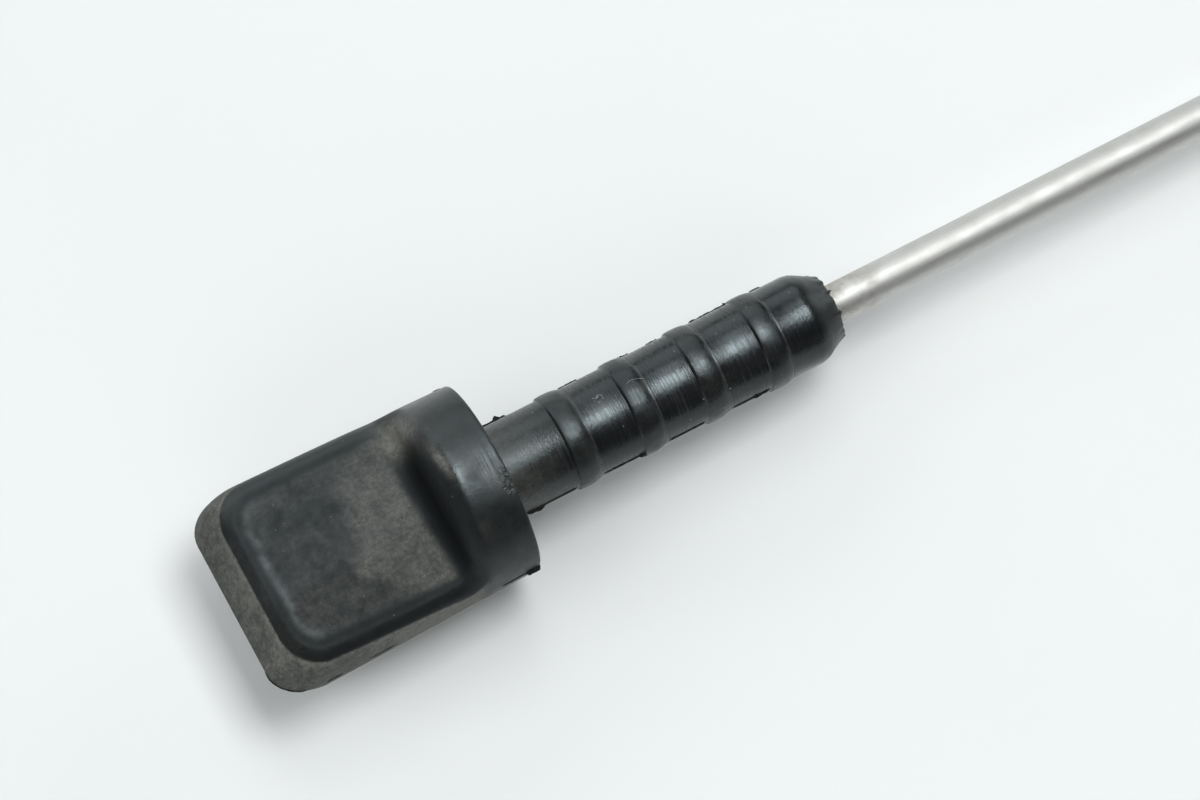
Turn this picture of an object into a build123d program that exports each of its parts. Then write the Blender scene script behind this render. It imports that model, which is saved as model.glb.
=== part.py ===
from build123d import *
import math
import os

# Engine oil dipstick: a steel measuring rod with a rubber handle moulded over its end.
# Millimetres. The handle is modelled with the rod's axis along +X, from the grip to the tip,
# and the centre of the collar's seat face at the origin. The moulding's parting plane is XY.

# Grip and collar of the rubber handle
grip_length = 35.5
collar_diameter = 25.0
grip_flare = 1.6
collar_width = 8.05
collar_edge_break = 0.3
paddle_end_thickness = 13.6
paddle_root_thickness = 7.3
saddle_radius = 1.7
end_wall_lean = 27.0
side_wall_lean = 8.0
corner_radius = 4.4
rim_radius = 2.8
rim_step = 0.16

# Ribbed plug of the rubber handle
plug_length = 47.4
plug_diameter = 11.9
bead_diameter = 12.5
bead_width = 3.1
bead_land = 1.0
bead_pitch = 9.0
bead_count = 4
first_bead = 8.9
nose_length = 3.3
nose_diameter = 8.1

# Steel rod with its flattened measuring blade
overall_length = 400.0
rod_diameter = 5.0
rod_anchor_length = 22.0
blade_length = 60.0
blade_width = 7.6
blade_thickness = 2.8
blade_neck_length = 9.0
tip_bevel = 0.7
mark_width = 0.9
mark_depth = 0.35
low_mark_from_tip = 14.0
mark_spacing = 22.0

# Places that follow from the sizes above
tip_x = overall_length - grip_length
blade_start_x = tip_x - blade_length
collar_radius = collar_diameter / 2
grip_end_diameter = collar_diameter + grip_flare
blank_reach = grip_length + collar_diameter
support_rise = collar_radius - blade_thickness / 2
support_span = tip_x - tip_bevel + collar_edge_break
lay_angle = math.degrees(math.atan2(support_rise, support_span))


def side_face(points):
    """Face in the XZ plane, seen from the side, through the given (x, z) corners."""
    return make_face(Plane.XZ * Polyline(*points, close=True))


def flank(swell, edge_break):
    """Round flank shared by the grip and the collar, flared to the free end, where it can swell."""
    flare = (grip_flare / 2 + swell) / grip_length
    outline = [(-blank_reach, 0), (-blank_reach, collar_radius + flare * blank_reach)]
    if edge_break:
        outline.append((-edge_break, collar_radius + flare * edge_break))
    outline.append((0, collar_radius - edge_break))
    return revolve(side_face(outline + [(0, 0)]), Axis.X)


def grip_blank(swell, edge_break):
    """Upper half of the grip before its face is cut: flank, leaning end wall and round corners."""
    end_lean = math.tan(math.radians(end_wall_lean))
    side_lean = math.tan(math.radians(side_wall_lean))
    height = collar_diameter
    end_x = -grip_length - swell / math.cos(math.radians(end_wall_lean))
    wedge_face = side_face([(end_x, 0), (end_x + height * end_lean, height), (0, height), (0, 0)])
    wedge = extrude(wedge_face, amount=collar_diameter, both=True)
    for side in (-1, 1):
        foot = (end_x, side * (grip_end_diameter / 2 + swell), 0)
        side_wall = Plane(origin=foot, z_dir=(0, side, side_lean))
        wedge = split(wedge, bisect_by=side_wall, keep=Keep.BOTTOM)
    end_wall = wedge.faces().sort_by(lambda face: face.normal_at(face.center()).X)[0]
    corner_edges = end_wall.edges() - end_wall.edges().filter_by(Axis.Y)
    return flank(swell, edge_break) & fillet(corner_edges, corner_radius + swell)


def saddle_cutter():
    """All that lies above the paddle's sloping face, its hollow saddle and the collar's shoulder."""
    end_z = paddle_end_thickness / 2
    root_z = paddle_root_thickness / 2
    top_z = collar_diameter
    shoulder_x = -collar_width
    slope = (end_z - root_z) / (grip_length - collar_width)
    far_z = root_z + slope * (blank_reach - collar_width)
    section = side_face([(-blank_reach, far_z), (shoulder_x, root_z), (shoulder_x, top_z), (-blank_reach, top_z)])
    root = section.vertices().sort_by(Axis.Z)[0]
    section = fillet(root, saddle_radius)
    return extrude(section, amount=collar_diameter, both=True)


def grip_half():
    """Upper half of the grip: a rounded rim that meets the walls at a crease, which fades to the collar."""
    swollen = grip_blank(rim_step, 0)
    cutter = saddle_cutter()
    cut = swollen - cutter
    rim = new_edges(swollen, cutter, combined=cut)
    return fillet(rim, rim_radius) & grip_blank(0, collar_edge_break)


def bead_outline(start_x):
    """Corners of one low bead: a sloping flank, a level crest and a second flank."""
    plug_r = plug_diameter / 2
    bead_r = bead_diameter / 2
    run = (bead_width - bead_land) / 2
    end_x = start_x + bead_width
    return [(start_x, plug_r), (start_x + run, bead_r), (end_x - run, bead_r), (end_x, plug_r)]


def plug():
    """Ribbed plug turned about the rod's axis, from inside the collar to the chamfered nose."""
    plug_r = plug_diameter / 2
    outline = [(-collar_width, 0), (-collar_width, plug_r)]
    for index in range(bead_count):
        outline.extend(bead_outline(first_bead + index * bead_pitch))
    outline.extend([(plug_length - nose_length, plug_r), (plug_length, nose_diameter / 2), (plug_length, 0)])
    return revolve(side_face(outline), Axis.X)


def rod_plane(x):
    """Plane across the rod at x, with its own X across the blade and its own Y up."""
    return Plane(origin=(x, 0, 0), x_dir=(0, 1, 0), z_dir=(1, 0, 0))


def round_section(x):
    """Round section of the rod in four arcs, to pair with the four sides of the blade."""
    arcs = [CenterArc((0, 0), rod_diameter / 2, start, 90) for start in (-45, 45, 135, 225)]
    return make_face(rod_plane(x) * Curve(children=arcs))


def blade_section(x):
    """Flattened section: two level faces joined by round edges."""
    flat = (blade_width - blade_thickness) / 2
    rise = blade_thickness / 2
    sides = [
        ThreePointArc((flat, -rise), (blade_width / 2, 0), (flat, rise)),
        Line((flat, rise), (-flat, rise)),
        ThreePointArc((-flat, rise), (-blade_width / 2, 0), (-flat, -rise)),
        Line((-flat, -rise), (flat, -rise)),
    ]
    return make_face(rod_plane(x) * Curve(children=sides))


def blade():
    """Measuring blade with a bevelled tip and two level marks across both faces."""
    rise = blade_thickness / 2
    bevel_x = tip_x - tip_bevel
    tip_z = rise - tip_bevel
    upper = [(blade_start_x, rise), (bevel_x, rise), (tip_x, tip_z)]
    lower = [(tip_x, -tip_z), (bevel_x, -rise), (blade_start_x, -rise)]
    body = extrude(blade_section(blade_start_x), amount=blade_length)
    body &= extrude(side_face(upper + lower), amount=blade_width, both=True)
    groove = Box(mark_width, blade_width, 2 * mark_depth)
    for from_tip in (low_mark_from_tip, low_mark_from_tip + mark_spacing):
        for face_z in (rise, -rise):
            body -= Pos(tip_x - from_tip, 0, face_z) * groove
    return body


def steel_rod():
    """Rod from its end inside the rubber to the tip of the flattened blade."""
    round_end_x = blade_start_x - blade_neck_length
    bar = extrude(round_section(-rod_anchor_length), amount=round_end_x + rod_anchor_length)
    neck = loft([round_section(round_end_x), blade_section(blade_start_x)])
    return bar + neck + blade()


def rubber_handle(rod):
    """One rubber moulding: paddle grip, round collar and ribbed plug, closed round the rod."""
    upper = grip_half()
    return upper + mirror(upper, about=Plane.XY) + plug() - rod


os.makedirs("parts", exist_ok=True)
rod = steel_rod()
handle = rubber_handle(rod)
lay_down = Rot(0, lay_angle, 0)
export_step(lay_down * rod, "parts/steel_rod.step")
export_step(lay_down * handle, "parts/rubber_handle.step")
for name, piece in (("steel_rod", rod), ("rubber_handle", handle)):
    box = (lay_down * piece).bounding_box()
    print(name, len(piece.solids()), "solid", round(piece.volume, 1), "mm3", box)
print("laid down by", round(lay_angle, 3), "degrees")
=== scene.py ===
# %% [markdown]
# # An engine oil dipstick
# The part is a drawn steel rod with a black rubber handle moulded over its end. The solids come from the
# CAD frame at their real size, and this script dresses them: it lights them, rounds the rubber as a mould
# leaves it, gives both materials their finish and adds the flash and the dust of a used part. Some light and
# shade is painted into the rubber's colour along with the dust. Everything is in metres, in the frame of the
# solids.

# %% The frame
import bpy
import bmesh
import math
import numpy as np
from mathutils import Matrix, Vector, noise


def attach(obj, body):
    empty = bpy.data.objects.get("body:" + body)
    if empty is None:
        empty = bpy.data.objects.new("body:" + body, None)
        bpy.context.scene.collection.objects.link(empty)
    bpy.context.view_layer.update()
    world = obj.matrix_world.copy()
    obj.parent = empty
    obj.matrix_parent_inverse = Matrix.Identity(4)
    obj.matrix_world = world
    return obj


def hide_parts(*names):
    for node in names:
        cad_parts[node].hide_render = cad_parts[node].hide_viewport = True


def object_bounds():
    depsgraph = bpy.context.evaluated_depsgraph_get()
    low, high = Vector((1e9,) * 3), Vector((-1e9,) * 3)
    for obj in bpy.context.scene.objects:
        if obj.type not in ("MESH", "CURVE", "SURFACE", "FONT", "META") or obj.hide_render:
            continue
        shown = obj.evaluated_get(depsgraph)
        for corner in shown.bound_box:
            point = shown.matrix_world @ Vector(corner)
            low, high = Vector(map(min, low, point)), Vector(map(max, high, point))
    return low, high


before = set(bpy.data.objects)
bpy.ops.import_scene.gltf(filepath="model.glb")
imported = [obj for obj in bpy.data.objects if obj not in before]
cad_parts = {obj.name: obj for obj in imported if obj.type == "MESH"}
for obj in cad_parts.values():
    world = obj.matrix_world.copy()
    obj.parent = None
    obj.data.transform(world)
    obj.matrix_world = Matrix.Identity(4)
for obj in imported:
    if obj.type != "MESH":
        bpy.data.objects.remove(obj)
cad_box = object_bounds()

MM = 0.001
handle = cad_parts["rubber_handle"]
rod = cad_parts["steel_rod"]
print("solids", sorted(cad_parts), "box", cad_box)

# %% [markdown]
# ## Camera
# The picture is taken from above with a long lens, a little from the near side and from behind the grip.
# A camera can be aimed by hand in the viewport, but here its place, its aim and its roll are three named
# values, so that the view can be set again exactly.

# %% Camera
CAMERA_PLACE = Vector((-66.76, -113.63, 468.30)) * MM
CAMERA_AIM = Vector((16.54, 2.70, -1.14)) * MM
CAMERA_ROLL = math.radians(7.06)
LENS_MM = 120.0
SENSOR_MM = 36.0
NEAREST_SEEN = 0.01

look = (CAMERA_AIM - CAMERA_PLACE).to_track_quat("-Z", "Y")
view_turn = look @ Matrix.Rotation(CAMERA_ROLL, 3, "Z").to_quaternion()
camera_data = bpy.data.cameras.new("camera")
camera_data.lens = LENS_MM
camera_data.sensor_width = SENSOR_MM
camera_data.clip_start = NEAREST_SEEN
camera = bpy.data.objects.new("camera", camera_data)
camera.matrix_world = Matrix.LocRotScale(CAMERA_PLACE, view_turn, None)
bpy.context.scene.collection.objects.link(camera)
bpy.context.scene.camera = camera
print("camera", round((CAMERA_AIM - CAMERA_PLACE).length / MM), "mm from its aim")

# %% [markdown]
# ## Helpers for finishes
# A finish is a tree of nodes. It can be wired by hand in the shader editor. In a script a few helpers keep it
# short: one makes a material, one adds a node with its inputs, and the others are the nodes used most often.

# %% Helpers for finishes
def new_finish(name):
    """Material with its node tree and its main shader."""
    finish = bpy.data.materials.new(name)
    finish.use_nodes = True
    return finish, finish.node_tree, finish.node_tree.nodes["Principled BSDF"]


def add_node(tree, kind, settings=None, **inputs):
    """Node with settings, and with inputs that are numbers or the outputs of other nodes."""
    made = tree.nodes.new("ShaderNode" + kind)
    for name, value in (settings or {}).items():
        setattr(made, name, value)
    for name, value in inputs.items():
        socket = made.inputs[int(name[1:])] if name[1:].isdigit() else made.inputs[name.replace("_", " ")]
        if isinstance(value, bpy.types.NodeSocket):
            tree.links.new(value, socket)
        else:
            socket.default_value = value
    return made


def cloud_noise(tree, place, scale, detail, roughness=0.5):
    """Noise of a scale at a place, about 0.3 to 0.7."""
    made = add_node(tree, "TexNoise", None, Vector=place, Scale=scale, Detail=detail, Roughness=roughness)
    return made.outputs[0]


def blend(tree, kind, first, second):
    """Sum or product of two values."""
    return add_node(tree, "Math", {"operation": kind}, i0=first, i1=second).outputs[0]


def ramp(tree, value, low, high, to_low, to_high):
    """Value carried from one range to another, and held at its ends."""
    made = add_node(tree, "MapRange", None, Value=value, From_Min=low, From_Max=high,
                    To_Min=to_low, To_Max=to_high)
    return made.outputs[0]


def tint(tree, part, first, second):
    """Colour between two colours."""
    return add_node(tree, "Mix", {"data_type": "RGBA"}, i0=part, i6=first, i7=second).outputs[2]


print("finish helpers ready")

# %% [markdown]
# ## Floor
# The part lies on a plain pale table. One large square is enough, because the camera sees only a hand's
# breadth of it, and its paint is a little uneven so that it doesn't look like paper.

# %% Floor
FLOOR_REACH = 3.0
FLOOR_SHADE = (0.775, 0.785, 0.785, 1)
FLOOR_LIGHT = (0.835, 0.845, 0.845, 1)
CLOUDS_PER_METRE = 9.0
floor_z = cad_box[0][2]


def new_piece(name, shape):
    """Object from a bmesh, linked to the scene, with its place in its mesh."""
    mesh = bpy.data.meshes.new(name)
    shape.to_mesh(mesh)
    shape.free()
    piece = bpy.data.objects.new(name, mesh)
    bpy.context.scene.collection.objects.link(piece)
    return piece


floor_shape = bmesh.new()
bmesh.ops.create_grid(floor_shape, x_segments=1, y_segments=1, size=FLOOR_REACH)
bmesh.ops.translate(floor_shape, verts=floor_shape.verts, vec=(0, 0, floor_z))
floor = new_piece("floor", floor_shape)

floor_paint, tree, surface = new_finish("floor_paint")
uneven = cloud_noise(tree, add_node(tree, "TexCoord").outputs["Object"], CLOUDS_PER_METRE, 4.0)
tree.links.new(tint(tree, uneven, FLOOR_SHADE, FLOOR_LIGHT), surface.inputs["Base Color"])
surface.inputs["Roughness"].default_value = 0.7
floor.data.materials.append(floor_paint)
print("floor at", round(floor_z / MM, 3), "mm")

# %% [markdown]
# ## Light
# A broad soft lamp hangs overhead, a little to the far side, with a smaller lamp just below it as a core, so
# that a highlight on the rubber is bright in its middle and fades out. One large lamp would be simpler, but
# its highlight would have a hard border. The far side of the room is paler and the near side dark, which
# draws the dark bands along the near rim and the plug. A low lamp beyond the tip lights the plug's nose. Two
# lamps at the near side and at the left only lighten the shadow and aren't seen in reflections. The levels
# are plain: a colour comes out about as it is written.

# %% Light
ROOM_LIGHT = 0.06
COOL_WHITE = (0.97, 1.0, 1.0)


def soft_lamp(name, place, wide, deep, watts, aimed=True, reflected=True):
    """Rectangular lamp at a place, aimed at the part or straight down."""
    lamp = bpy.data.lights.new(name, "AREA")
    lamp.shape = "RECTANGLE"
    lamp.size = wide
    lamp.size_y = deep
    lamp.energy = watts
    lamp.color = COOL_WHITE
    holder = bpy.data.objects.new(name, lamp)
    holder.visible_glossy = reflected
    aim = (CAMERA_AIM - Vector(place)).to_track_quat("-Z", "Y") if aimed else None
    holder.matrix_world = Matrix.LocRotScale(Vector(place), aim, None)
    bpy.context.scene.collection.objects.link(holder)


world = bpy.data.worlds.new("room")
world.use_nodes = True
world.node_tree.nodes["Background"].inputs["Color"].default_value = (ROOM_LIGHT, ROOM_LIGHT, ROOM_LIGHT, 1)
bpy.context.scene.world = world
soft_lamp("overhead_lamp", (0.275, 0.21, 1.0), wide=0.45, deep=1.16, watts=4.2, aimed=False)
soft_lamp("core_lamp", (0.275, 0.01, 0.98), wide=0.45, deep=0.38, watts=3.9, aimed=False)
soft_lamp("far_lamp", (0.0, 1.5, 0.75), wide=2.0, deep=1.05, watts=7.8)
soft_lamp("tip_lamp", (1.5, 0.4, 0.55), wide=0.9, deep=0.7, watts=3.0)
soft_lamp("near_lamp", (-0.6, -1.2, 0.8), wide=2.0, deep=1.2, watts=6.8, reflected=False)
soft_lamp("left_lamp", (-1.0, 0.2, 0.9), wide=1.0, deep=1.0, watts=7.0, reflected=False)
bpy.context.scene.view_settings.view_transform = "Standard"
print("lamps", [item.name for item in bpy.data.lights], "room", ROOM_LIGHT)

# %% [markdown]
# ## The handle's own frame
# The part lies on its collar and its tip, so the rod's axis dips by a small angle. Shapes that turn about
# that axis are easier to make level and tip afterwards, so two helpers go between the level frame, in
# millimetres, and the scene. In the level frame the axis is x, and the collar's seat is at its zero.

# %% The handle's own frame
OVERALL_LENGTH = 400.0
GRIP_LENGTH = 35.5
COLLAR_R = 12.5
COLLAR_WIDTH = 8.05
SEAT_EDGE = 0.3
END_FLARE = 0.8
BLADE_HALF = 1.4
TIP_BEVEL = 0.7
TIP_REACH = OVERALL_LENGTH - GRIP_LENGTH - TIP_BEVEL + SEAT_EDGE
LAY_ANGLE = math.atan2(COLLAR_R - BLADE_HALF, TIP_REACH)

lay_down = Matrix.Rotation(LAY_ANGLE, 4, "Y") @ Matrix.Scale(MM, 4)
lay_turn = np.array(Matrix.Rotation(LAY_ANGLE, 3, "Y"))


def level_points(mesh):
    """Points of a mesh in the handle's level frame, in millimetres."""
    flat = np.empty(len(mesh.vertices) * 3)
    mesh.vertices.foreach_get("co", flat)
    return flat.reshape(-1, 3) @ lay_turn / MM


def set_level_points(mesh, points):
    """Puts points of the level frame back into a mesh of the scene."""
    mesh.vertices.foreach_set("co", (points @ lay_turn.T * MM).ravel())
    mesh.update()


def smooth_step(low, high, value):
    """Soft ramp from 0 at low to 1 at high."""
    part = np.clip((value - low) / (high - low), 0.0, 1.0)
    return part * part * (3.0 - 2.0 * part)


def bell(value, middle, width):
    """Soft hump of 1 at its middle."""
    return np.exp(-((value - middle) / width) ** 2)


print("axis dips", round(math.degrees(LAY_ANGLE), 3), "degrees")

# %% [markdown]
# ## The moulded grip: its form
# The grip is a paddle that thins towards a round collar. Its rim is rounded and ends at a low step against
# the walls, and a hollow saddle climbs to the collar's shoulder. In the viewport this would be sculpted or
# box-modelled with bevels. Here each surface is written as a depth, negative inside the rubber, and two
# surfaces are joined with a rounded edge or a filled hollow, so that each fillet runs smoothly into the next.

# %% Form of the grip
END_LEAN = math.radians(27.0)
CORNER_R = 4.6
END_HALF = 6.8
ROOT_HALF = 3.65
FACE_SLOPE = (END_HALF - ROOT_HALF) / (GRIP_LENGTH - COLLAR_WIDTH)
SHOULDER_FOOT = 8.6
SHOULDER_LEAN = math.atan2(SHOULDER_FOOT - COLLAR_WIDTH, COLLAR_R - ROOT_HALF)
SADDLE_R = 2.2
RIM_R = 2.2
RIM_END = -15.0
CREST_R = 2.8
CREST_START = -8.0
RIM_STEP = 0.22
STEP_END = -3.0
CREASE_R = 0.1


def rounded(a, b, radius):
    """Depth of what lies inside both surfaces, with the edge between them rounded."""
    edge = np.hypot(np.maximum(a + radius, 0), np.maximum(b + radius, 0))
    return np.minimum(-radius, np.maximum(a, b)) + edge


def filled(a, b, radius):
    """Depth of what lies inside either surface, with the hollow between them filled."""
    hollow = np.hypot(np.maximum(radius - a, 0), np.maximum(radius - b, 0))
    return np.maximum(radius, np.minimum(a, b)) - hollow


def wall_depth(points):
    """Depth below the round flank and the leaning end wall, with their corner rounded."""
    x, y, z = points[:, 0], points[:, 1], np.abs(points[:, 2])
    flank = np.hypot(y, z) - (COLLAR_R - END_FLARE / GRIP_LENGTH * x)
    end = z * math.sin(END_LEAN) - (x + GRIP_LENGTH) * math.cos(END_LEAN)
    return rounded(flank, end, CORNER_R)


def face_depth(points):
    """Depth below the paddle's sloping face, the saddle and the collar's shoulder."""
    x, z = points[:, 0], np.abs(points[:, 2])
    face = (z - ROOT_HALF + FACE_SLOPE * (x + COLLAR_WIDTH)) / math.hypot(1.0, FACE_SLOPE)
    shoulder = (z - COLLAR_R) * math.sin(SHOULDER_LEAN) - (x + COLLAR_WIDTH) * math.cos(SHOULDER_LEAN)
    return filled(face, shoulder, SADDLE_R)


def rim_depth(points):
    """Depth below the rounded rim, which stands a low step outside the walls."""
    x = points[:, 0]
    step = RIM_STEP * np.clip((STEP_END - x) / GRIP_LENGTH, 0.0, 1.0)
    radius = RIM_R + (CREST_R - RIM_R) * smooth_step(RIM_END, CREST_START, x)
    return rounded(wall_depth(points) - step, face_depth(points), radius)


def grip_depth(points):
    """Depth below the whole grip: its walls, its rim and the edge of its seat."""
    moulded = rounded(wall_depth(points), rim_depth(points), CREASE_R)
    return rounded(moulded, points[:, 0], SEAT_EDGE)


centre = np.array([[-COLLAR_WIDTH / 2, 0.0, 0.0]])
print("depth at the collar's centre", np.round(grip_depth(centre), 2), "mm")

# %% [markdown]
# ## The moulded grip: its mesh
# A copy of the solid is merged and remeshed into small even squares, as clay is before sculpting. The plug is
# cut off, because a turned mesh suits it better, and so is the bore of the rod, which nobody sees. Then each
# point slides to the form above, along the steepest way to it, and the mesh is smoothed between two slides
# so that the squares stay even.

# %% Even squares
SQUARE = 0.25
SAME_POINT = 0.002

copy_shape = bmesh.new()
copy_shape.from_mesh(handle.data)
bmesh.ops.remove_doubles(copy_shape, verts=copy_shape.verts, dist=SAME_POINT * MM)
blank = new_piece("grip_blank", copy_shape)
even = blank.modifiers.new("even_squares", "REMESH")
even.mode = "VOXEL"
even.voxel_size = SQUARE * MM
evaluated = blank.evaluated_get(bpy.context.evaluated_depsgraph_get())
even_mesh = bpy.data.meshes.new_from_object(evaluated)
bpy.data.objects.remove(blank)
print("handle of", len(even_mesh.polygons), "even squares")

# %% Plug and bore cut off
SEAT_CUT = 0.06
BORE_REACH = 3.2
BORE_DEPTH = 25.0

grip_shape = bmesh.new()
grip_shape.from_mesh(even_mesh)
seat_place = lay_down @ Vector((SEAT_CUT, 0, 0))
seat_normal = (lay_down.to_3x3() @ Vector((1, 0, 0))).normalized()
everything = grip_shape.verts[:] + grip_shape.edges[:] + grip_shape.faces[:]
bmesh.ops.bisect_plane(grip_shape, geom=everything, plane_co=seat_place, plane_no=seat_normal,
                       clear_outer=True)
lift_up = lay_down.inverted()
bore = []
for vertex in grip_shape.verts:
    place = lift_up @ vertex.co
    if place.x > -BORE_DEPTH and place.yz.length < BORE_REACH:
        bore.append(vertex)
bmesh.ops.delete(grip_shape, geom=bore, context="VERTS")
open_edges = [edge for edge in grip_shape.edges if edge.is_boundary]
bmesh.ops.holes_fill(grip_shape, edges=open_edges, sides=0)
grip = new_piece("handle_grip", grip_shape)
print("grip of", len(grip.data.polygons), "faces before it is formed")

# %% Mesh of the grip
PROBE = 0.01
FLATTEST = 0.25
LONGEST_MOVE = 0.4


def slide(mesh, depth, rounds):
    """Moves the points of a mesh along the slope of a depth until they lie on its surface."""
    points = level_points(mesh)
    for _ in range(rounds):
        here = depth(points)
        slope = np.empty_like(points)
        for axis in range(3):
            shift = np.zeros(3)
            shift[axis] = PROBE
            slope[:, axis] = (depth(points + shift) - depth(points - shift)) / (2 * PROBE)
        steep = np.maximum((slope * slope).sum(axis=1), FLATTEST)
        move = np.clip(here / steep, -LONGEST_MOVE, LONGEST_MOVE)
        points = points - slope * move[:, None]
    set_level_points(mesh, points)


for _ in range(3):
    slide(grip.data, grip_depth, 4)
    relax = bmesh.new()
    relax.from_mesh(grip.data)
    bmesh.ops.smooth_vert(relax, verts=relax.verts, factor=0.5,
                          use_axis_x=True, use_axis_y=True, use_axis_z=True)
    relax.to_mesh(grip.data)
    relax.free()
slide(grip.data, grip_depth, 5)
grip.data.shade_smooth()
left_over = float(np.abs(grip_depth(level_points(grip.data))).max())
print("grip", len(grip.data.polygons), "faces, furthest from its form", round(left_over, 3), "mm")

# %% [markdown]
# The collar's edge is cracked on top, towards the near side, where it was struck. The squares there are cut
# smaller, and then points are pressed in along the borders of a cell pattern, which look like cracks.

# %% Nicks on the collar
NICK_ANGLE = -0.34
NICK_SPREAD = 0.11
NICK_START = -1.7
NICK_FULL = -0.4
NICK_REACH = 1.2
NICK_DEPTH = 0.20
CRACK_WIDTH = 0.20
CRACKS_PER_MM = 1.5
CRACK_SHIFT = Vector((4.4, 0.0, 1.0))
WANDER = 0.35


def nick_part(points):
    """How much of a point lies in the nicked patch of the collar's edge, 0 to 1."""
    across = bell(np.arctan2(points[:, 1], points[:, 2]), NICK_ANGLE, NICK_SPREAD)
    on_edge = np.hypot(points[:, 1], points[:, 2]) > COLLAR_R - NICK_REACH
    return across * smooth_step(NICK_START, NICK_FULL, points[:, 0]) * on_edge


def crack(place):
    """How deep a crack is at a place: 1 on a border between two cells and 0 away from it."""
    wander = [noise.noise(place * 1.3 + Vector((0.0, 0.0, 7.3 * axis))) for axis in range(3)]
    near, next_near = noise.voronoi((place + Vector(wander) * WANDER) * CRACKS_PER_MM + CRACK_SHIFT)[0][:2]
    return max(1.0 - (next_near - near) / CRACK_WIDTH, 0.0)


nick_shape = bmesh.new()
nick_shape.from_mesh(grip.data)
struck = nick_part(level_points(grip.data)) > 0.05
struck_edges = [edge for edge in nick_shape.edges if all(struck[vertex.index] for vertex in edge.verts)]
bmesh.ops.subdivide_edges(nick_shape, edges=struck_edges, cuts=4, use_grid_fill=True)
nick_shape.to_mesh(grip.data)
nick_shape.free()
points = level_points(grip.data)
nicked = nick_part(points)
pressed = np.flatnonzero(nicked > 0.02)
for index in pressed:
    bite = NICK_DEPTH * nicked[index] * crack(Vector(points[index]))
    inward = np.array([0.6 * COLLAR_R, points[index, 1], points[index, 2]]) / COLLAR_R
    points[index] -= bite * inward
set_level_points(grip.data, points)
grip.data.shade_smooth()
print("nicked points", len(pressed))

# %% [markdown]
# ## The ribbed plug
# The plug that seals in the tube is turned about the rod: four low beads on a straight barrel and a chamfered
# nose. A lathe shape is a short outline and a spin. A bead is a low hump that rises sharply at the side of
# the grip and falls gently towards the tip, where a thin lip ends it. Its sharp ring edges are then bevelled.

# %% Outline of the plug
PLUG_R = 5.95
PLUG_SUNK = 1.5
BEAD_R = 6.25
BEAD_WIDTH = 3.1
BEAD_STARTS = [8.9 + 9.0 * index for index in range(4)]
BEAD_LIFT = 0.18
LIP_R = PLUG_R + 0.035
NOSE_START = 44.1
NOSE_END = 47.4
NOSE_R = 4.05
NOSE_DISH = 0.2
NOSE_DEPTH = 2.5
ROD_R = 2.5

# Points of a bead: place along the axis and distance from it. The rise counts from the bead's start, and
# the fall and the lip count from its end
bead_rise = [(0.0, PLUG_R), (BEAD_LIFT, BEAD_R - 0.03), (0.9, BEAD_R + 0.02)]
bead_fall = [(-1.3, BEAD_R), (-0.7, BEAD_R - 0.07), (-0.3, BEAD_R - 0.16)]
bead_fall += [(-0.06, PLUG_R + 0.05), (0.0, PLUG_R)]
bead_lip = [(0.07, LIP_R), (0.16, LIP_R), (0.30, PLUG_R)]

outline = [(-PLUG_SUNK, 0.0), (-PLUG_SUNK, PLUG_R), (0.0, PLUG_R)]
for start in BEAD_STARTS:
    outline += [(start + along, reach) for along, reach in bead_rise]
    outline += [(start + BEAD_WIDTH + along, reach) for along, reach in bead_fall + bead_lip]
outline += [(NOSE_START, PLUG_R), (NOSE_END, NOSE_R), (NOSE_END - NOSE_DISH, ROD_R)]
outline += [(NOSE_END - NOSE_DEPTH, ROD_R), (NOSE_END - NOSE_DEPTH, 0.0)]
print("outline of", len(outline), "points")

# %% Spin and bevels of the plug
TURNS = 180

plug_shape = bmesh.new()
line = [plug_shape.verts.new((x, 0.0, reach)) for x, reach in outline]
edges = [plug_shape.edges.new(pair) for pair in zip(line, line[1:])]
bmesh.ops.spin(plug_shape, geom=line + edges, cent=(0, 0, 0), axis=(1, 0, 0), angle=2 * math.pi,
               steps=TURNS, use_merge=True)
bmesh.ops.remove_doubles(plug_shape, verts=plug_shape.verts, dist=0.001)
bmesh.ops.recalc_face_normals(plug_shape, faces=plug_shape.faces)


def axis_reach(vertex):
    """Distance of a point of the plug from the rod's axis."""
    return math.hypot(vertex.co.y, vertex.co.z)


def rings(shape, places):
    """Edges of the rings that lie at one of the places along the axis."""
    found = []
    for edge in shape.edges:
        first, second = edge.verts
        is_ring = abs(first.co.x - second.co.x) < 1e-4 and axis_reach(first) > ROD_R + 0.1
        if is_ring and min(abs(first.co.x - place) for place in places) < 1e-3:
            found.append(edge)
    return found


def bevel_rings(shape, places, offset, segments):
    """Rounds the rings at the places along the axis."""
    bmesh.ops.bevel(shape, geom=rings(shape, places), offset=offset, offset_type="OFFSET", segments=segments,
                    profile=0.5, affect="EDGES", material=-1, clamp_overlap=True)


bevel_rings(plug_shape, BEAD_STARTS, offset=0.05, segments=2)
bevel_rings(plug_shape, [start + BEAD_LIFT for start in BEAD_STARTS], offset=0.12, segments=3)
bevel_rings(plug_shape, [NOSE_START], offset=0.9, segments=6)
print("plug", len(plug_shape.faces), "faces after its bevels")

# %% [markdown]
# The nose was torn from the mould: its edge is ragged, with a few tabs that lie over the rod. Its chamfer is
# cut into finer rings, and then the rings near the edge are pulled forward or back by rough noise and by a
# short list of tabs. A tab has the degrees of its middle and its half width, and its height.

# %% Torn nose
TEAR_START = 1.2
TEAR_DEPTH = 0.32
FINER_RINGS = 11
TABS = [(10.0, 3.0, 0.42), (-34.0, 8.0, 0.30), (70.0, 9.0, 0.30), (140.0, 6.0, 0.40), (-150.0, 5.0, 0.35)]

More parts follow.
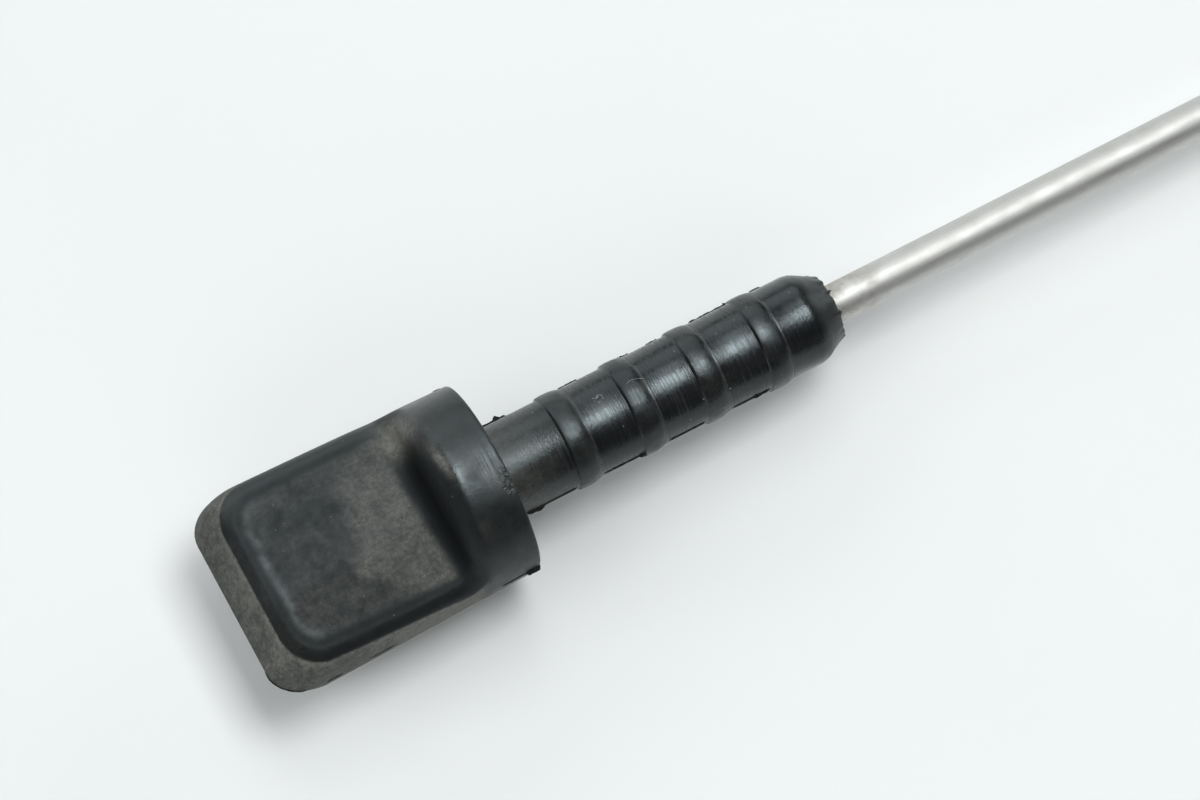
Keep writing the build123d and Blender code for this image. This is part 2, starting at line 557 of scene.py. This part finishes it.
long_edges = []
for edge in plug_shape.edges:
    low, high = sorted(vertex.co.x for vertex in edge.verts)
    on_chamfer = low > NOSE_START and high > NOSE_END - 0.01 and high - low > 0.5
    if on_chamfer and min(axis_reach(vertex) for vertex in edge.verts) > ROD_R + 0.5:
        long_edges.append(edge)
bmesh.ops.subdivide_edges(plug_shape, edges=long_edges, cuts=FINER_RINGS, use_grid_fill=True)
for vertex in plug_shape.verts:
    reach = axis_reach(vertex)
    near_edge = (vertex.co.x - NOSE_START - TEAR_START) / (NOSE_END - NOSE_START - TEAR_START)
    if near_edge <= 0.0 or reach < ROD_R + 0.2:
        continue
    round_place = Vector((vertex.co.y, vertex.co.z, 0.0)) / reach
    coarse = noise.noise(round_place * 1.7 + Vector((3.7, 1.2, 0.4)))
    fine = noise.fractal(round_place * 6.0 + Vector((0.3, 7.1, 2.2)), 0.8, 2.1, 4)
    turn = math.degrees(math.atan2(vertex.co.y, vertex.co.z))
    tab = max(height * max(1.0 - abs(turn - middle) / width, 0.0) for middle, width, height in TABS)
    vertex.co.x += near_edge ** 3 * (TEAR_DEPTH * (0.8 * coarse + 0.32 * fine - 0.2) + tab)
    swell = 1.0 + near_edge ** 2 * (0.02 * fine + 0.03 * coarse)
    vertex.co.y *= swell
    vertex.co.z *= swell
bmesh.ops.transform(plug_shape, matrix=lay_down, verts=plug_shape.verts)
plug = new_piece("handle_plug", plug_shape)
plug.data.shade_smooth()
print("plug", len(plug.data.polygons), "faces")

# %% [markdown]
# The grip and the plug are one moulding, so both stand for the same solid. They could be joined into one
# mesh, but apart, each keeps the kind of mesh that suits it.

# %% Handle in its place
for piece in (grip, plug):
    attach(piece, "root")
    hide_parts("rubber_handle")
print("handle of", grip.name, "and", plug.name)

# %% [markdown]
# ## Flash
# The handle was moulded in two halves, and a little rubber was pressed out where they met. It stays on the
# parting line as thin torn fins: mere lines along the plug and the grip's near side, taller at the root of
# the plug and on the collar's edge, a sliver round the grip's near corner and a flap along the nose. A fin is
# a narrow grid laid along that line: one side is sunk in the rubber, the other is torn by noise, and solidify
# gives it its thickness.

# %% Parting line
CORNER_MIDDLE = Vector((-30.2, -8.4, 0.0))
NOSE_OUTWARD = Vector((0.5, 0.87, 0.0))


def parting_reach(x):
    """Distance from the axis to the handle's surface on the parting line."""
    if x <= 0.0:
        return COLLAR_R - END_FLARE / GRIP_LENGTH * x
    for start in BEAD_STARTS:
        if start < x < start + BEAD_WIDTH:
            return BEAD_R
    return PLUG_R


def far_line(x):
    """Line along the far side: place and outward direction at x."""
    return Vector((x, parting_reach(x), 0.0)), Vector((0.0, 1.0, 0.0))


def near_line(x):
    """Line along the near side: place and outward direction at x."""
    return Vector((x, -parting_reach(x), 0.0)), Vector((0.0, -1.0, 0.0))


def nose_line(x):
    """Line along the far side of the nose: place and outward direction at x."""
    reach = PLUG_R - (x - NOSE_START) * (PLUG_R - NOSE_R) / (NOSE_END - NOSE_START)
    return Vector((x, reach, 0.0)), NOSE_OUTWARD


def corner_line(angle):
    """Line round the grip's near corner: place and outward direction at an angle, in radians."""
    outward = Vector((-math.cos(angle), -math.sin(angle), 0.0))
    reach = 3.0
    for _ in range(12):
        reach -= float(wall_depth(np.array([CORNER_MIDDLE + outward * reach]))[0])
    return CORNER_MIDDLE + outward * reach, outward


print("corner of the parting line", corner_line(0.8)[0])

# %% Flash fin
FIN_THICK = 0.08
FIN_SUNK = 0.2
FIN_SQUARE = 0.10
LOWEST_TEAR = 0.12


def flash_fin(shape, line, start, end, height, ragged, curl, taper, seed):
    """Adds one torn fin to a shape, along a part of a line."""
    length = (line(end)[0] - line(start)[0]).length
    steps = max(8, round(length / FIN_SQUARE))
    sheet = bmesh.new()
    bmesh.ops.create_grid(sheet, x_segments=steps, y_segments=4, size=0.5)
    for vertex in sheet.verts:
        along, out = vertex.co.x + 0.5, vertex.co.y + 0.5
        place, outward = line(start + along * (end - start))
        torn = 0.8 + ragged * noise.fractal(Vector((along * length * 1.5, seed, 0.0)), 0.8, 2.1, 4)
        ends = min(1.0, taper * along, taper * (1.0 - along))
        tall = height * max(torn, LOWEST_TEAR) * ends
        sway = curl * out * out * noise.noise(Vector((along * length * 0.8, seed + 4.0, 0.0)))
        vertex.co = place + outward * (out * (FIN_SUNK + tall) - FIN_SUNK) + Vector((0.0, 0.0, sway))
    bmesh.ops.recalc_face_normals(sheet, faces=sheet.faces)
    bmesh.ops.solidify(sheet, geom=sheet.faces[:], thickness=FIN_THICK)
    bmesh.ops.translate(sheet, verts=sheet.verts, vec=(0, 0, FIN_THICK / 2))
    bmesh.ops.transform(sheet, matrix=lay_down, verts=sheet.verts)
    scrap = bpy.data.meshes.new("fin_scrap")
    sheet.to_mesh(scrap)
    sheet.free()
    shape.from_mesh(scrap)
    bpy.data.meshes.remove(scrap)


print("a fin is", FIN_THICK, "mm thick")

# %% Flash
# Each fin: its line, start and end along it, height, raggedness, curl and how fast its ends rise
FINS = [
    (far_line, -1.4, -0.1, 0.64, 0.12, 0.1, 9),
    (far_line, 0.3, 5.6, 0.52, 0.15, 0.1, 9),
    (far_line, 3.0, 4.9, 0.95, 0.10, 0.1, 2.2),
    (far_line, 12.2, 15.4, 0.40, 0.25, 0.1, 9),
    (far_line, 20.9, 22.6, 0.44, 0.30, 0.1, 5),
    (far_line, 24.6, 26.6, 0.38, 0.20, 0.1, 7),
    (far_line, 30.4, 36.4, 0.40, 0.20, 0.1, 9),
    (far_line, 39.3, 41.2, 0.38, 0.15, 0.1, 7),
    (near_line, -2.1, -0.1, 0.55, 0.10, 0.1, 9),
    (near_line, -5.4, -1.8, 0.08, 0.15, 0.0, 9),
    (near_line, -23.7, -19.9, 0.10, 0.25, 0.0, 5),
    (near_line, -29.6, -27.2, 0.12, 0.25, 0.0, 5),
    (near_line, 1.2, 4.6, 0.52, 0.22, 0.5, 3.5),
    (near_line, 2.8, 8.7, 0.17, 0.20, 0.1, 9),
    (near_line, 12.3, 17.8, 0.16, 0.20, 0.1, 9),
    (near_line, 17.0, 18.1, 0.42, 0.30, 0.3, 3),
    (near_line, 21.3, 26.7, 0.16, 0.25, 0.1, 9),
    (near_line, 30.3, 35.8, 0.16, 0.20, 0.1, 9),
    (near_line, 33.0, 35.6, 0.26, 0.30, 0.2, 5),
    (corner_line, 0.05, 1.25, 0.18, 0.20, 0.1, 6),
    (nose_line, 44.3, 47.5, 0.42, 0.15, 0.0, 9),
]
FIRST_SEED = 3.1
SEED_STEP = 2.3

flash_shape = bmesh.new()
for number, fin in enumerate(FINS):
    flash_fin(flash_shape, *fin, FIRST_SEED + SEED_STEP * number)
flash = new_piece("mould_flash", flash_shape)
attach(flash, "root")
print("flash", len(FINS), "fins,", len(flash.data.polygons), "faces")

# %% [markdown]
# ## Lint
# Two pale fibres cling to the plug. A fibre is a smooth curve through a few places on the rubber, with a
# round section, and it is then made a mesh. It could also be a hair strand, but a mesh goes into every
# export. A place is given by its millimetres along the axis and its degrees to the far side.

# %% Lint
CURLED_FIBRE = [
    (14.5, 17.5), (14.7, 15), (15.0, 14), (15.25, 15.5), (15.15, 17.2), (14.95, 16.6), (14.98, 15.2),
    (15.2, 15), (15.3, 16.4), (15.1, 17.2), (15.4, 17.4), (15.7, 15.5), (15.6, 12), (15.65, 9),
]
LONG_FIBRE = [(18.9, 12), (19.6, 14), (20.3, 12.8), (20.8, 10), (21.2, 8.5)]
CURLED_THICK = 0.019
LONG_THICK = 0.013
FIBRE_LIFT = 0.05


def fibre_mesh(places, reach, thick):
    """Mesh of one fibre through places on the rubber, which lies at a reach from the axis."""
    path = bpy.data.curves.new("fibre_path", "CURVE")
    path.dimensions = "3D"
    path.bevel_depth = thick
    path.bevel_resolution = 1
    path.use_fill_caps = True
    spline = path.splines.new("NURBS")
    spline.points.add(len(places) - 1)
    for number, (point, (x, turn)) in enumerate(zip(spline.points, places)):
        out = reach + thick + FIBRE_LIFT * (number % 2)
        point.co = (x, out * math.sin(math.radians(turn)), out * math.cos(math.radians(turn)), 1.0)
    spline.order_u = 3
    spline.use_endpoint_u = True
    spline.resolution_u = 6
    holder = bpy.data.objects.new("fibre_path", path)
    made = bpy.data.meshes.new_from_object(holder)
    bpy.data.objects.remove(holder)
    return made


lint_shape = bmesh.new()
lint_shape.from_mesh(fibre_mesh(CURLED_FIBRE, PLUG_R, CURLED_THICK))
lint_shape.from_mesh(fibre_mesh(LONG_FIBRE, BEAD_R, LONG_THICK))
bmesh.ops.remove_doubles(lint_shape, verts=lint_shape.verts, dist=0.0005)
bmesh.ops.recalc_face_normals(lint_shape, faces=lint_shape.faces)
bmesh.ops.transform(lint_shape, matrix=lay_down, verts=lint_shape.verts)
lint = new_piece("plug_lint", lint_shape)
lint.data.shade_smooth()
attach(lint, "root")
print("lint", len(lint.data.polygons), "faces")

# %% [markdown]
# ## Where the rubber is dusty, where light and shade are painted, and where it shines
# Dust stays on the walls and on the paddle's face, most of all near the collar, where no thumb wipes it off.
# The rim is clean and black, and the collar's crest and the plug are rubbed to a satin shine. The saddle is
# left bare and black as painted shade in the hollow. Some light and shade is painted into the same number as
# the dust: painted highlights along the collar's crest and the rim's crease, painted light at the far end of
# the hollow and on the collar's far side, and painted shade low on the walls. This could be painted by hand
# on the mesh. Here each point works out its dust with the painted light, and its gloss, from the same depths
# that made the form, and the finish reads them as attributes of the mesh. A third one, streak, says where
# fine scratches run round the part, and a fourth, shine, is low on the near side, where a dull film lies on
# the rubber. Places are in millimetres of the level frame, and turns in radians from the top.

# %% Regions of the grip
DUST_SHARE = 0.79


def cloudy(points, scale, seed):
    """Soft noise at each point, about -1 to 1."""
    shift = Vector((seed, 0.0, 0.0))
    return np.array([noise.fractal(Vector(point) * scale + shift, 0.7, 2.0, 4) for point in points.tolist()])


def store(mesh, name, values):
    """Keeps one number for each point of a mesh."""
    layer = mesh.attributes.new(name, "FLOAT", "POINT")
    layer.data.foreach_set("value", np.clip(values, 0.0, 1.0).astype(np.float32))


points = level_points(grip.data)
x, y, z = points.T
turn = np.arctan2(y, z)
side = np.abs(np.arctan2(y, np.abs(z)))
nicked = nick_part(points)
clouds = cloudy(points, 0.16, 2.0)
grain = cloudy(points, 0.55, 9.0)
wall_gap = -wall_depth(points)
on_wall = 1.0 - smooth_step(0.03, 0.14, wall_gap)
on_face = smooth_step(-0.40, -0.04, face_depth(points)) * (1.0 - on_wall)
on_rim = 1.0 - on_face - on_wall
to_collar = smooth_step(-9.2, -6.8, x)
# The face's dust fades out into the saddle, so the hollow stays bare and black: painted shade in the hollow.
into_shaded_saddle = smooth_step(-11.4, -9.9, x + 0.05 * y)
film = bell(x, -3.4, 1.1) * bell(turn, -0.05, 0.10) * (1.0 + 0.6 * grain)
print("points on the wall", int((on_wall > 0.5).sum()), "and on the face", int((on_face > 0.5).sum()))

# %% Dust of the grip
border = x + 18.9 - 0.04 * (y + 1.0) ** 2 + 2.2 * clouds
wiped = 1.0 - smooth_step(-21.0, -17.0, x)
inside = smooth_step(1.6, 2.5, wall_gap)
face_dust = 0.15 + 0.44 * smooth_step(-1.9, 1.9, border) * (1.0 - 0.65 * smooth_step(5.0, 8.5, y))
face_dust += wiped * (0.08 * smooth_step(0.0, 5.0, -y) - 0.035 * smooth_step(1.0, 5.0, y))
face_dust += 0.08 * smooth_step(5.0, 9.0, y)
face_dust = (face_dust + 0.12 * grain) * (1.0 - into_shaded_saddle) * (0.1 + 0.9 * inside)

down_wall = cloudy(points * np.array([0.8, 0.8, 0.2]), 0.8, 6.0)
wall_dust_and_shading = 0.20 + 1.00 * smooth_step(-24.0, -12.0, x) + 0.10 * clouds + 0.30 * down_wall
# The walls grow darker down towards the parting line, below the crease: painted shade on the dust.
wall_dust_and_shading *= 0.62 + 0.50 * smooth_step(0.5, 5.5, np.abs(z))
# Dust on the collar, growing towards the far side and thinning on the near side: painted light from the far
# side over real dust.
collar_dust_and_far_light = 0.03 + (0.46 + 0.036 * y) * smooth_step(0.85, 1.35, side) + 0.10 * clouds
wall_dust_and_shading = wall_dust_and_shading * (1.0 - to_collar) + collar_dust_and_far_light * to_collar
rim_dust = 0.03 + 0.05 * (1.0 - smooth_step(-32.0, -28.0, x))

# Pale patch at the far end of the hollow, where it faces the lit far side: painted light.
far_hollow_light = 1.35 * bell(x, -8.9, 2.0) * bell(y, 8.6, 2.2) * (z > 0)
# Pale band along the collar's crest, slanted with the turn: a painted highlight on a dusty crest.
crest_dust_and_highlight = 1.05 * bell(x + 1.8 * turn, -6.2, 0.55) * bell(turn, 0.14, 0.19)
scuff = 0.36 * bell(turn, -0.27, 0.14) * smooth_step(-4.6, -1.6, x)
# Pale line on the wall just below the rim's crease: a painted highlight along the crease.
crease_highlight = on_wall * (1.0 - to_collar) * bell(rim_depth(points), 0.0, 0.28)
# The dust number also carries painted light and shade: painted shade low on the walls, painted light at the
# hollow's far end and on the collar's far side, and painted highlights along the crease and the crest.
dust_and_painted_light = on_face * face_dust + on_wall * wall_dust_and_shading + on_rim * rim_dust + far_hollow_light + 0.8 * crease_highlight
dust_and_painted_light += crest_dust_and_highlight + scuff * on_wall + 0.38 * film + 0.10 * nicked
dust_and_painted_light *= DUST_SHARE
store(grip.data, "dust_and_painted_light", dust_and_painted_light)
print("grip dust from", round(float(dust_and_painted_light.min()), 2), "to", round(float(dust_and_painted_light.max()), 2))

# %% Gloss of the grip
crest = bell(x, -5.7, 0.7) * (1.0 - smooth_step(0.12, 0.40, np.abs(turn - 0.1)))
edge_line = bell(wall_gap, 2.30, 0.62) * on_face * (1.0 - smooth_step(-29.0, -24.0, x))
edge_line *= 1.0 - 0.6 * smooth_step(2.0, 8.0, y)
near_corner = bell(x, -31.5, 3.0) * bell(y, -8.5, 3.0)
at_shoulder = smooth_step(-10.2, -9.2, x) * (1.0 - smooth_step(-7.4, -6.2, x)) * (1.0 - on_wall)
gloss = 0.11 * on_face * (1.0 - into_shaded_saddle) + on_wall * (0.12 + 0.62 * to_collar)
gloss -= 0.10 * to_collar * smooth_step(-0.05, 0.15, -turn) * on_wall
gloss += on_rim * (0.74 + 0.18 * near_corner) + 0.40 * crest + 0.45 * edge_line * (0.9 + 0.4 * grain)
gloss += (0.42 - gloss) * at_shoulder + 0.08 * grain - 0.20 * film - 0.35 * nicked
rubbed = smooth_step(-5.0, -1.5, x) * on_wall * (1.0 - smooth_step(0.3, 0.8, side))
dull_film = np.maximum(at_shoulder, on_wall * (1.0 - to_collar))
store(grip.data, "gloss", gloss)
store(grip.data, "streak", 0.55 * rubbed)
store(grip.data, "shine", smooth_step(-0.6, -0.35, turn) * (1.0 - dull_film))
print("grip gloss from", round(float(gloss.min()), 2), "to", round(float(gloss.max()), 2))

# %% [markdown]
# The plug is cleaner than the grip, because the tube keeps the dust off it. Dust lies at its root and along
# the lips of the beads. The beads are duller than the barrel between them, the first two most of all.

# %% Dust and gloss of the plug
BEAD_DULLNESS = (0.22, 0.15, 0.08, 0.08)

points = level_points(plug.data)
x, y, z = points.T
turn = np.arctan2(y, z)
clouds = cloudy(points, 0.25, 5.0)
mottle = cloudy(points, 0.8, 11.0)
at_root = 1.0 - smooth_step(0.6, 3.6, x)
first = 1.0 - smooth_step(7.4, 9.0, x)
low_side = first * (smooth_step(0.85, 1.25, -turn) + 0.6 * smooth_step(0.2, 0.9, turn))
last = smooth_step(38.9, 39.4, x)
on_nose = smooth_step(43.6, 44.4, x)
on_bead, bead_film, on_lip = np.zeros((3, len(points)))
for start, dullness in zip(BEAD_STARTS, BEAD_DULLNESS):
    band = smooth_step(start - 0.1, start + 0.2, x) - smooth_step(start + 2.9, start + 3.3, x)
    on_bead = np.maximum(on_bead, band)
    bead_film = np.maximum(bead_film, dullness * band)
    on_lip = np.maximum(on_lip, bell(x, start + BEAD_WIDTH + 0.12, 0.09))

plug_dust = 0.02 + 0.03 * first + 0.42 * at_root + 0.16 * low_side
plug_dust += 0.05 * on_nose + 0.02 * on_bead + 0.32 * on_lip + 0.08 * clouds
plug_gloss = 0.94 + 0.13 * first + 0.13 * last + 0.12 * clouds
plug_gloss -= 0.36 * at_root + 0.15 * low_side + 0.28 * on_nose + bead_film + 0.24 * mottle * on_bead
worn = np.clip(0.75 + 0.8 * cloudy(points * np.array([1.0, 0.5, 0.5]), 0.45, 14.0), 0.0, 1.0)
worn *= 1.0 - 0.7 * smooth_step(37.5, 39.5, x)
store(plug.data, "dust_and_painted_light", plug_dust * DUST_SHARE)
store(plug.data, "gloss", plug_gloss)
store(plug.data, "streak", worn * (1.0 - 0.5 * on_bead - 0.9 * on_nose) * (1.0 - 0.8 * at_root))
store(plug.data, "shine", smooth_step(-0.65, -0.4, turn))
print("plug gloss from", round(float(plug_gloss.min()), 2), "to", round(float(plug_gloss.max()), 2))

# %% [markdown]
# ## Rubber
# Old rubber is black with a dry bloom of dust in its grain, tiny pits, pale specks and fine scratches. On the
# plug the scratches run round it, where the tube rubbed it. A picture of rubber could be wrapped round the
# mesh, but noise has no seams and stays sharp close up. The colour mixes black and dust grey by the
# attribute, which also carries painted highlights, painted light and painted shade, broken by noise at
# several scales, and the same noise feeds the roughness and a very low bump.

# %% Patterns of the rubber
def level_coordinates(tree, scale):
    """Object coordinates turned level with the rod's axis, in millimetres times a scale."""
    place = add_node(tree, "TexCoord")
    turned = add_node(tree, "Mapping", None, Vector=place.outputs["Object"], Rotation=(0, -LAY_ANGLE, 0))
    stretch = [part / MM for part in scale]
    return add_node(tree, "Mapping", None, Vector=turned.outputs[0], Scale=stretch).outputs[0]


def attribute(tree, name):
    """Number that a point of the mesh keeps under a name."""
    return add_node(tree, "Attribute", {"attribute_name": name}).outputs["Fac"]


rubber, tree, surface = new_finish("handle_rubber")
even_place = level_coordinates(tree, (1, 1, 1))
round_place = level_coordinates(tree, (1, 0.03, 0.03))
slanted = add_node(tree, "Mapping", None, Vector=even_place, Rotation=(0, 0, 0.62), Scale=(0.10, 2.4, 2.4))
dust_and_light_here = attribute(tree, "dust_and_painted_light")
gloss_here = attribute(tree, "gloss")
streak_here = attribute(tree, "streak")
shine_here = attribute(tree, "shine")
patches = cloud_noise(tree, even_place, 0.45, 5.0, 0.6)
flecks = cloud_noise(tree, even_place, 1.7, 4.0, 0.65)
pores = cloud_noise(tree, even_place, 4.0, 4.0, 0.7)
streaks = cloud_noise(tree, round_place, 4.5, 3.0, 0.6)
rubs = cloud_noise(tree, slanted.outputs[0], 1.0, 3.0, 0.6)
speck_cells = add_node(tree, "TexVoronoi", None, Vector=even_place, Scale=0.75).outputs
pit_cells = add_node(tree, "TexVoronoi", None, Vector=even_place, Scale=0.42).outputs
print("patterns of", len(tree.nodes), "nodes")

# %% Colour of the rubber
BLACK_RUBBER = (0.0060, 0.0068, 0.0076, 1)
# The dust grey is also the colour of the painted highlights and painted light kept with the dust.
DUST_AND_LIGHT_GREY = (0.140, 0.137, 0.122, 1)
PALE_SPECK = (0.42, 0.42, 0.40, 1)
DARK_PIT = (0.004, 0.004, 0.004, 1)

broken = ramp(tree, patches, 0.3, 0.7, 0.78, 1.22)
broken = blend(tree, "MULTIPLY", broken, ramp(tree, flecks, 0.3, 0.7, 0.58, 1.42))
broken = blend(tree, "MULTIPLY", broken, ramp(tree, pores, 0.3, 0.7, 0.75, 1.25))
broken = blend(tree, "MULTIPLY", broken, ramp(tree, rubs, 0.56, 0.70, 1.0, 1.35))
scratched = blend(tree, "MULTIPLY", ramp(tree, streaks, 0.60, 0.70, 0.0, 0.14), streak_here)
dust_and_light_part = blend(tree, "ADD", blend(tree, "MULTIPLY", dust_and_light_here, broken), scratched)
speck_near = ramp(tree, speck_cells["Distance"], 0.05, 0.075, 1.0, 0.0)
speck_kept = ramp(tree, speck_cells["Color"], 0.54, 0.56, 0.0, 0.75)
speck_part = blend(tree, "MULTIPLY", speck_near, speck_kept)
speck_part = blend(tree, "MULTIPLY", speck_part, ramp(tree, streak_here, 0.0, 1.0, 0.25, 1.0))
pit_near = ramp(tree, pit_cells["Distance"], 0.04, 0.08, 1.0, 0.0)
pit_part = blend(tree, "MULTIPLY", pit_near, ramp(tree, pit_cells["Color"], 0.55, 0.57, 0.0, 0.8))
# Dust grey over black by the attribute: this also draws the painted highlights, painted light and painted
# shade kept with the dust.
dusty_and_lit = tint(tree, dust_and_light_part, BLACK_RUBBER, DUST_AND_LIGHT_GREY)
pitted = tint(tree, pit_part, dusty_and_lit, DARK_PIT)
tree.links.new(tint(tree, speck_part, pitted, PALE_SPECK), surface.inputs["Base Color"])
print("colour up to", len(tree.nodes), "nodes")

# %% Gloss and skin of the rubber
DULL_ROUGHNESS = 0.82
RUBBED_ROUGHNESS = 0.22
FILM_LEVEL = 0.44
CLEAN_LEVEL = 0.70
COOL_SHEEN = (0.84, 0.96, 1.0, 1)
SKIN_DEPTH = 0.04 * MM

rub_lines = blend(tree, "MULTIPLY", ramp(tree, streaks, 0.35, 0.65, -0.16, 0.16), streak_here)
satin = blend(tree, "ADD", ramp(tree, gloss_here, 0.0, 1.0, DULL_ROUGHNESS, RUBBED_ROUGHNESS), rub_lines)
satin = blend(tree, "ADD", satin, ramp(tree, patches, 0.3, 0.7, -0.05, 0.05))
tree.links.new(satin, surface.inputs["Roughness"])
skin = blend(tree, "ADD", blend(tree, "MULTIPLY", pores, 0.5), blend(tree, "MULTIPLY", flecks, 1.1))
line_height = blend(tree, "MULTIPLY", blend(tree, "MULTIPLY", streaks, streak_here), 0.9)
height = blend(tree, "ADD", skin, line_height)
bump = add_node(tree, "Bump", None, Strength=0.6, Distance=SKIN_DEPTH, Height=height)
tree.links.new(bump.outputs[0], surface.inputs["Normal"])
level = ramp(tree, shine_here, 0.0, 1.0, FILM_LEVEL, CLEAN_LEVEL)
tree.links.new(level, surface.inputs["Specular IOR Level"])
surface.inputs["Specular Tint"].default_value = COOL_SHEEN
for piece in (grip, plug, flash):
    piece.data.materials.append(rubber)
print("rubber of", len(tree.nodes), "nodes")

# %% [markdown]
# The lint is cotton: pale, dull and a little uneven along its length.

# %% Lint fibre
GREY_COTTON = (0.34, 0.34, 0.32, 1)
PALE_COTTON = (0.66, 0.66, 0.63, 1)

lint_finish, tree, surface = new_finish("lint_fibre")
uneven = cloud_noise(tree, level_coordinates(tree, (1, 1, 1)), 3.0, 2.0)
tree.links.new(tint(tree, uneven, GREY_COTTON, PALE_COTTON), surface.inputs["Base Color"])
surface.inputs["Roughness"].default_value = 0.85
lint.data.materials.append(lint_finish)
print("lint of", len(tree.nodes), "nodes")

# %% [markdown]
# ## Steel
# The rod is bright drawn stainless steel: fine lines run along it from the die, it reflects the lamp as one
# long stripe, and a little brown stain has crept out from under the rubber. The shader's own anisotropy could
# draw the lines, but a stretched noise shows them close up too.

# %% Steel
BRIGHT_STEEL = (0.735, 0.73, 0.71, 1)
DULL_STEEL = (0.64, 0.635, 0.615, 1)
BROWN_STAIN = (0.24, 0.19, 0.13, 1)
STAIN_START = 47.0
STAIN_END = 56.0
LINE_DEPTH = 0.02 * MM

steel, tree, surface = new_finish("rod_steel")
even_place = level_coordinates(tree, (1, 1, 1))
lines = cloud_noise(tree, level_coordinates(tree, (0.02, 1, 1)), 7.0, 4.0, 0.65)
stains = cloud_noise(tree, even_place, 0.35, 5.0, 0.65)
along = add_node(tree, "SeparateXYZ", None, Vector=even_place).outputs[0]
creep = ramp(tree, along, STAIN_START, STAIN_END, 0.6, 0.05)
creep = blend(tree, "MULTIPLY", creep, ramp(tree, stains, 0.42, 0.68, 0.0, 1.0))
drawn = tint(tree, ramp(tree, lines, 0.3, 0.7, 0.0, 1.0), DULL_STEEL, BRIGHT_STEEL)
tree.links.new(tint(tree, creep, drawn, BROWN_STAIN), surface.inputs["Base Color"])
satin = blend(tree, "ADD", ramp(tree, lines, 0.3, 0.7, 0.50, 0.60), ramp(tree, stains, 0.35, 0.7, 0.0, 0.10))
tree.links.new(satin, surface.inputs["Roughness"])
bump = add_node(tree, "Bump", None, Strength=0.35, Distance=LINE_DEPTH, Height=lines)
tree.links.new(bump.outputs[0], surface.inputs["Normal"])
surface.inputs["Metallic"].default_value = 1.0
rod.material_slots[0].material = steel
print("steel of", len(tree.nodes), "nodes")
